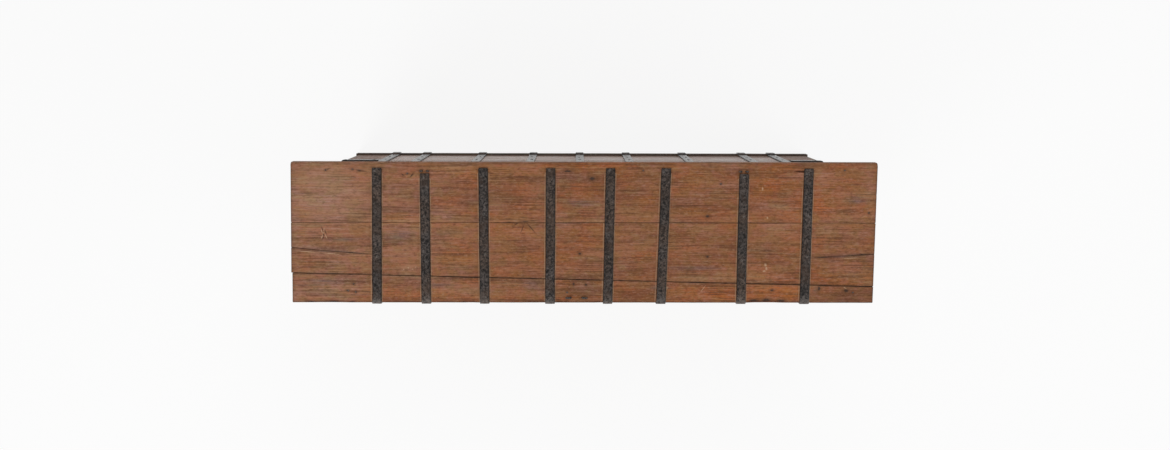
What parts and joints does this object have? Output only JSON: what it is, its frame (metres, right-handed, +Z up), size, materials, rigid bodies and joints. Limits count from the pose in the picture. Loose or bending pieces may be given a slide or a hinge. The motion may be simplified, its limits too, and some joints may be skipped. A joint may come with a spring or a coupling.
{
  "type": "console chest",
  "caption": "Long narrow iron-bound wooden chest with an overhanging plank lid on linked-eye hinges, a hanging hasp, a plinth and a bail handle at each end.",
  "frame": {"origin": "on the floor, under the middle of the chest's bounding box", "axes": "+X to the right along the chest seen from its front, +Y to its back, +Z up; the hasp is on the -Y side"},
  "size_m": [1.6, 0.3918, 0.8069],
  "materials": {
    "lid_wood": "old waxed reddish-brown planks, worn and cracked",
    "wall_wood": "old waxed reddish-brown planks",
    "plinth_wood": "dark stained skirting",
    "iron": "dull black forged bar and wire, slightly pitted"
  },
  "bodies": {
    "carcass": {"back_board_lower": "wall_wood", "back_board_middle": "wall_wood", "back_board_upper": "wall_wood", "front_board_lower": "wall_wood", "front_board_middle": "wall_wood", "front_board_upper": "wall_wood", "left_end_board_lower": "wall_wood", "left_end_board_upper": "wall_wood", "right_end_board_lower": "wall_wood", "right_end_board_upper": "wall_wood", "floor_board_front": "wall_wood", "floor_board_back": "wall_wood", "plinth_front": "plinth_wood", "plinth_back": "plinth_wood", "plinth_left": "plinth_wood", "plinth_right": "plinth_wood", "front_strap_1": "iron", "front_strap_2": "iron", "front_strap_3": "iron", "front_strap_4": "iron", "front_strap_5": "iron", "front_strap_6": "iron", "front_strap_7": "iron", "front_strap_8": "iron", "back_strap_1": "iron", "back_strap_2": "iron", "back_strap_3": "iron", "back_strap_4": "iron", "back_strap_5": "iron", "back_strap_6": "iron", "back_strap_7": "iron", "end_band_left": "iron", "end_band_right": "iron", "hinge_eye_wall_left": "iron", "hinge_eye_wall_right": "iron", "lock_staple": "iron", "handle_eye_left_front": "iron", "handle_eye_left_back": "iron", "handle_eye_right_front": "iron", "handle_eye_right_back": "iron"},
    "lid": {"lid_board_back": "lid_wood", "lid_board_middle": "lid_wood", "lid_board_front": "lid_wood", "lid_batten_left": "wall_wood", "lid_batten_right": "wall_wood", "lid_strap_1": "iron", "lid_strap_2": "iron", "lid_strap_3": "iron", "lid_strap_4": "iron", "lid_strap_5": "iron", "lid_strap_6": "iron", "lid_strap_7": "iron", "lid_strap_8": "iron", "hinge_eye_lid_left": "iron", "hinge_eye_lid_right": "iron", "hasp_hanger": "iron"},
    "hasp": {"hasp": "iron"},
    "handle_left": {"handle_left": "iron"},
    "handle_right": {"handle_right": "iron"}
  },
  "joints": [
    {"name": "lid_hinge", "type": "hinge", "parent": "carcass", "child": "lid", "pos_m": [0, 0.1719, 0.754], "axis": [-1, 0, 0], "range_deg": [0, 100]},
    {"name": "hasp_hinge", "type": "hinge", "parent": "lid", "child": "hasp", "pos_m": [-0.02, -0.1781, 0.759], "axis": [-1, 0, 0], "range_deg": [-9, 110]},
    {"name": "handle_left_hinge", "type": "hinge", "parent": "carcass", "child": "handle_left", "pos_m": [-0.778, 0.0019, 0.5], "axis": [0, 1, 0], "range_deg": [-10, 170]},
    {"name": "handle_right_hinge", "type": "hinge", "parent": "carcass", "child": "handle_right", "pos_m": [0.778, 0.0019, 0.5], "axis": [0, -1, 0], "range_deg": [-10, 170]}
  ]
}
